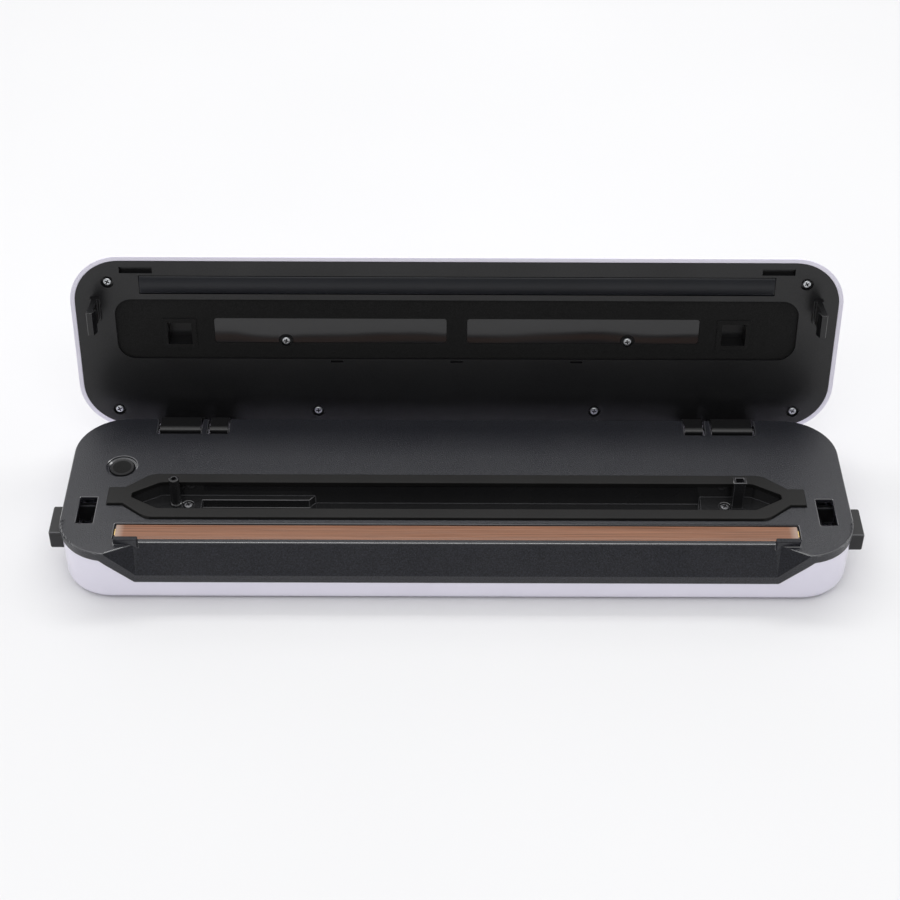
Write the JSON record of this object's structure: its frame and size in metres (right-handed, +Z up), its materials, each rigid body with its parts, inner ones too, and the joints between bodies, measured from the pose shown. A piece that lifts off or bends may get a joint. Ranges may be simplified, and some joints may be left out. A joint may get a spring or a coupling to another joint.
{
  "type": "vacuum sealer",
  "caption": "Long flat kitchen vacuum sealer with a hinged lid, bag trough with gasket, sealing bar and sprung side latches.",
  "frame": {"origin": "under the middle of the open machine, on the surface it stands on", "axes": "+X along the machine to the user's right, +Y from the user to the hinge, +Z up"},
  "size_m": [0.3772, 0.1314, 0.1101],
  "materials": {
    "shell_white": "satin-gloss moulded plastic, white with a faint violet cast",
    "deck_black": "fine spark-eroded matt texture",
    "liner_black": "fine matt moulded texture",
    "trough_black": "polished black plastic",
    "trim_black": "smooth satin black plastic",
    "gasket_rubber": "soft black silicone, satin",
    "strip_rubber": "blue-black silicone, satin",
    "foot_rubber": "matt rubber",
    "tape_brown": "non-stick coated glass cloth, semi-gloss brown",
    "smoked_window": "smoked transparent plastic, high gloss",
    "screw_zinc": "bright zinc plate",
    "steel": "plain ground steel",
    "brass_clip": "stamped brass",
    "motor_can": "drawn steel can",
    "pump_plastic": "grey engineering plastic",
    "hose_silicone": "milky silicone",
    "board_green": "circuit board",
    "key_white": "satin-gloss moulded plastic",
    "indicator_clear": "clear light pipe"
  },
  "bodies": {
    "base": {"base_shell": "shell_white", "deck_panel": "deck_black", "screw_bosses": "deck_black", "mounting_ribs": "shell_white", "hinge_bracket_left": "shell_white", "hinge_bracket_right": "shell_white", "rubber_feet": "foot_rubber", "base_screws": "screw_zinc", "hinge_pin_left": "steel", "hinge_pin_right": "steel", "vacuum_trough": "trough_black", "trough_gasket": "gasket_rubber", "trough_screws": "screw_zinc", "suction_nozzle": "trough_black", "vent_post": "trough_black", "heater_bar": "trim_black", "heating_wire": "steel", "heater_terminals": "brass_clip", "sealing_tape": "tape_brown", "release_spring_left": "steel", "release_spring_right": "steel", "deck_button_spring": "steel", "pump_motor": "motor_can", "pump_head": "pump_plastic", "pump_diaphragm": "gasket_rubber", "pump_cover": "pump_plastic", "air_hose": "hose_silicone", "vent_hose": "hose_silicone", "release_valve": "motor_can", "power_board": "board_green", "transformer": "trim_black", "mains_inlet": "trim_black", "inlet_pins": "steel", "lid_switches": "trim_black"},
    "lid": {"lid_shell": "shell_white", "top_window": "smoked_window", "lid_liner": "liner_black", "inner_lens_left": "smoked_window", "inner_lens_right": "smoked_window", "seal_strip": "strip_rubber", "latch_hook_left": "liner_black", "latch_hook_right": "liner_black", "lid_screws": "screw_zinc", "control_board": "board_green", "indicator_lights": "indicator_clear"},
    "release_left": {"release_button_left": "trim_black"},
    "release_right": {"release_button_right": "trim_black"},
    "deck_button": {"deck_button": "trim_black"},
    "pump_rotor": {"pump_rotor": "steel"},
    "key_left": {"key_left": "key_white"},
    "key_middle": {"key_middle": "key_white"},
    "key_right": {"key_right": "key_white"}
  },
  "joints": [
    {"name": "lid_hinge", "type": "hinge", "parent": "base", "child": "lid", "pos_m": [0, 0.02707, 0.0203], "axis": [1, 0, 0], "range_deg": [0, 99]},
    {"name": "release_left_slide", "type": "slide", "parent": "base", "child": "release_left", "axis": [1, 0, 0], "range_m": [0, 0.003], "stiffness_N_per_m": 700, "springref_m": -0.002, "deforming": ["release_spring_left"]},
    {"name": "release_right_slide", "type": "slide", "parent": "base", "child": "release_right", "axis": [-1, 0, 0], "range_m": [0, 0.003], "stiffness_N_per_m": 700, "springref_m": -0.002, "deforming": ["release_spring_right"]},
    {"name": "deck_button_press", "type": "slide", "parent": "base", "child": "deck_button", "axis": [0, 0, -1], "range_m": [0, 0.0012], "stiffness_N_per_m": 600, "springref_m": -0.002, "deforming": ["deck_button_spring"]},
    {"name": "pump_spin", "type": "hinge", "parent": "base", "child": "pump_rotor", "pos_m": [0.008, 0.00477, 0.0157], "axis": [1, 0, 0], "continuous": true},
    {"name": "key_left_press", "type": "slide", "parent": "lid", "child": "key_left", "axis": [0, -0.9877, 0.1564], "range_m": [0, 0.0007], "stiffness_N_per_m": 600, "springref_m": -0.001},
    {"name": "key_middle_press", "type": "slide", "parent": "lid", "child": "key_middle", "axis": [0, -0.9877, 0.1564], "range_m": [0, 0.0007], "stiffness_N_per_m": 600, "springref_m": -0.001},
    {"name": "key_right_press", "type": "slide", "parent": "lid", "child": "key_right", "axis": [0, -0.9877, 0.1564], "range_m": [0, 0.0007], "stiffness_N_per_m": 600, "springref_m": -0.001}
  ]
}
